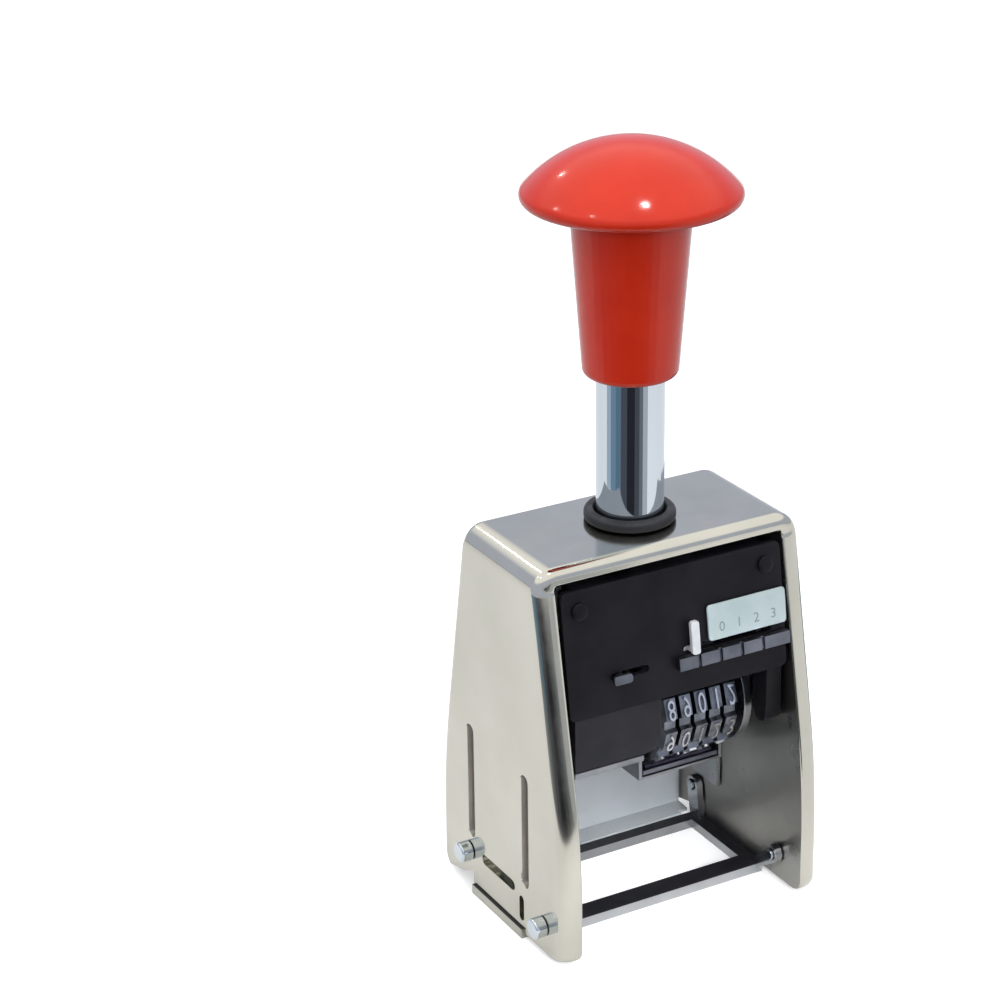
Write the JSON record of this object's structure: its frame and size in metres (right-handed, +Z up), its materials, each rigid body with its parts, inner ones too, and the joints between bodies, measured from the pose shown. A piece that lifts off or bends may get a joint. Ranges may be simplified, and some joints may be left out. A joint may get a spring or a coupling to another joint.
{
  "type": "self-inking rotary date stamp",
  "caption": "Hand-operated rotary date and numbering stamp: chromed sheet frame, red mushroom knob on a sprung plunger, figure wheels and a swinging ink pad.",
  "frame": {"origin": "on the plunger's axis, in the plane of the foot plate's underside", "axes": "+Z up along the plunger, -Y out of the open front, +X to the right seen from the front"},
  "size_m": [0.0636, 0.0484, 0.153],
  "materials": {
    "housing_shell": "bright chrome plate, fine brushing",
    "base_plate": "bright chrome plate, fine brushing",
    "base_rivet_rear_left": "bright chrome plate, fine brushing",
    "base_rivet_rear_right": "bright chrome plate, fine brushing",
    "base_rivet_front_left": "bright chrome plate, fine brushing",
    "base_rivet_front_right": "bright chrome plate, fine brushing",
    "rear_cover": "silver lacquer, satin",
    "guide_rail_left": "plain rolled and zinc-washed steel",
    "guide_rail_right": "plain rolled and zinc-washed steel",
    "cam_strip": "plain rolled and zinc-washed steel",
    "guide_tube": "bright chrome plate, fine brushing",
    "bumper_collar": "black rubber, dull",
    "tube_nut": "plain rolled and zinc-washed steel",
    "rod_bush": "turned brass, satin",
    "return_spring": "spring steel wire",
    "plunger_rod": "ground steel",
    "handle_knob": "orange-red moulded plastic, glossy",
    "knob_lock_collar": "plain rolled and zinc-washed steel",
    "spring_seat": "turned brass, satin",
    "carriage_bridge": "plain rolled and zinc-washed steel",
    "rod_nut": "plain rolled and zinc-washed steel",
    "side_plate_left": "plain rolled and zinc-washed steel",
    "side_plate_right": "plain rolled and zinc-washed steel",
    "tie_rod": "plain rolled and zinc-washed steel",
    "front_cover": "black moulded plastic, low sheen",
    "cover_screw_left": "black oxide steel",
    "cover_screw_right": "black oxide steel",
    "scale_plate": "pale enamel with plain figures",
    "selector_rail": "plain rolled and zinc-washed steel",
    "selector_slider": "white plastic",
    "latch_slider": "bright plated",
    "mechanism_cover": "black moulded plastic, low sheen",
    "hood_sill": "bright plated",
    "right_guard": "black moulded plastic, low sheen",
    "end_cheek": "plain rolled and zinc-washed steel",
    "wheel_axle": "ground steel",
    "axle_sleeve": "turned brass, satin",
    "repeat_ratchet": "turned brass, satin",
    "detent_comb": "blued spring steel",
    "pawl_shaft": "ground steel",
    "pawl_spring": "spring steel wire",
    "feed_pawl": "hardened steel",
    "pad_yoke": "plain rolled and zinc-washed steel",
    "pad_cassette": "black moulded plastic, low sheen",
    "ink_pad": "felt soaked with dark ink",
    "number_wheel_1": "machined steel with inked raised figures",
    "number_wheel_2": "machined steel with inked raised figures",
    "number_wheel_3": "machined steel with inked raised figures",
    "number_wheel_4": "machined steel with inked raised figures",
    "number_wheel_5": "machined steel with inked raised figures"
  },
  "bodies": {
    "frame": {"housing_shell": "housing_shell", "base_plate": "base_plate", "base_rivet_rear_left": "base_rivet_rear_left", "base_rivet_rear_right": "base_rivet_rear_right", "base_rivet_front_left": "base_rivet_front_left", "base_rivet_front_right": "base_rivet_front_right", "rear_cover": "rear_cover", "guide_rail_left": "guide_rail_left", "guide_rail_right": "guide_rail_right", "cam_strip": "cam_strip", "guide_tube": "guide_tube", "bumper_collar": "bumper_collar", "tube_nut": "tube_nut", "rod_bush": "rod_bush", "return_spring": "return_spring"},
    "carriage": {"plunger_rod": "plunger_rod", "handle_knob": "handle_knob", "knob_lock_collar": "knob_lock_collar", "spring_seat": "spring_seat", "carriage_bridge": "carriage_bridge", "rod_nut": "rod_nut", "side_plate_left": "side_plate_left", "side_plate_right": "side_plate_right", "tie_rod": "tie_rod", "front_cover": "front_cover", "cover_screw_left": "cover_screw_left", "cover_screw_right": "cover_screw_right", "scale_plate": "scale_plate", "selector_rail": "selector_rail", "mechanism_cover": "mechanism_cover", "hood_sill": "hood_sill", "right_guard": "right_guard", "end_cheek": "end_cheek", "wheel_axle": "wheel_axle", "axle_sleeve": "axle_sleeve", "detent_comb": "detent_comb", "pawl_shaft": "pawl_shaft", "pawl_spring": "pawl_spring"},
    "selector": {"selector_slider": "selector_slider"},
    "latch": {"latch_slider": "latch_slider"},
    "repeat_wheel": {"repeat_ratchet": "repeat_ratchet"},
    "pawl": {"feed_pawl": "feed_pawl"},
    "pad": {"pad_yoke": "pad_yoke", "pad_cassette": "pad_cassette", "ink_pad": "ink_pad"},
    "wheel_1": {"number_wheel_1": "number_wheel_1"},
    "wheel_2": {"number_wheel_2": "number_wheel_2"},
    "wheel_3": {"number_wheel_3": "number_wheel_3"},
    "wheel_4": {"number_wheel_4": "number_wheel_4"},
    "wheel_5": {"number_wheel_5": "number_wheel_5"}
  },
  "joints": [
    {"name": "plunger_slide", "type": "slide", "parent": "frame", "child": "carriage", "axis": [0, 0, -1], "range_m": [0, 0.0268], "stiffness_N_per_m": 400, "springref_m": -0.03, "deforming": ["return_spring"]},
    {"name": "pad_swing", "type": "hinge", "parent": "carriage", "child": "pad", "pos_m": [0, 0, 0.0385], "axis": [1, 0, 0], "range_deg": [0, 100]},
    {"name": "feed_pawl_rock", "type": "hinge", "parent": "carriage", "child": "pawl", "pos_m": [0, -0.002, 0.0555], "axis": [-1, 0, 0], "range_deg": [0, 28]},
    {"name": "selector_slide", "type": "slide", "parent": "carriage", "child": "selector", "axis": [1, 0, 0], "range_m": [0, 0.016]},
    {"name": "latch_slide", "type": "slide", "parent": "carriage", "child": "latch", "axis": [1, 0, 0], "range_m": [0, 0.005]},
    {"name": "repeat_wheel_spin", "type": "hinge", "parent": "carriage", "child": "repeat_wheel", "pos_m": [-0.0076, 0, 0.0385], "axis": [1, 0, 0], "continuous": true},
    {"name": "wheel_1_spin", "type": "hinge", "parent": "carriage", "child": "wheel_1", "pos_m": [0.0016, 0, 0.0385], "axis": [1, 0, 0], "continuous": true},
    {"name": "wheel_2_spin", "type": "hinge", "parent": "carriage", "child": "wheel_2", "pos_m": [0.00505, 0, 0.0385], "axis": [1, 0, 0], "continuous": true},
    {"name": "wheel_3_spin", "type": "hinge", "parent": "carriage", "child": "wheel_3", "pos_m": [0.0085, 0, 0.0385], "axis": [1, 0, 0], "continuous": true},
    {"name": "wheel_4_spin", "type": "hinge", "parent": "carriage", "child": "wheel_4", "pos_m": [0.01195, 0, 0.0385], "axis": [1, 0, 0], "continuous": true},
    {"name": "wheel_5_spin", "type": "hinge", "parent": "carriage", "child": "wheel_5", "pos_m": [0.0154, 0, 0.0385], "axis": [1, 0, 0], "continuous": true}
  ],
  "couplings": [
    {"joint": "pad_swing", "follows": "plunger_slide", "rad_per_m": 65.1},
    {"joint": "feed_pawl_rock", "follows": "plunger_slide", "rad_per_m": 18.23}
  ]
}
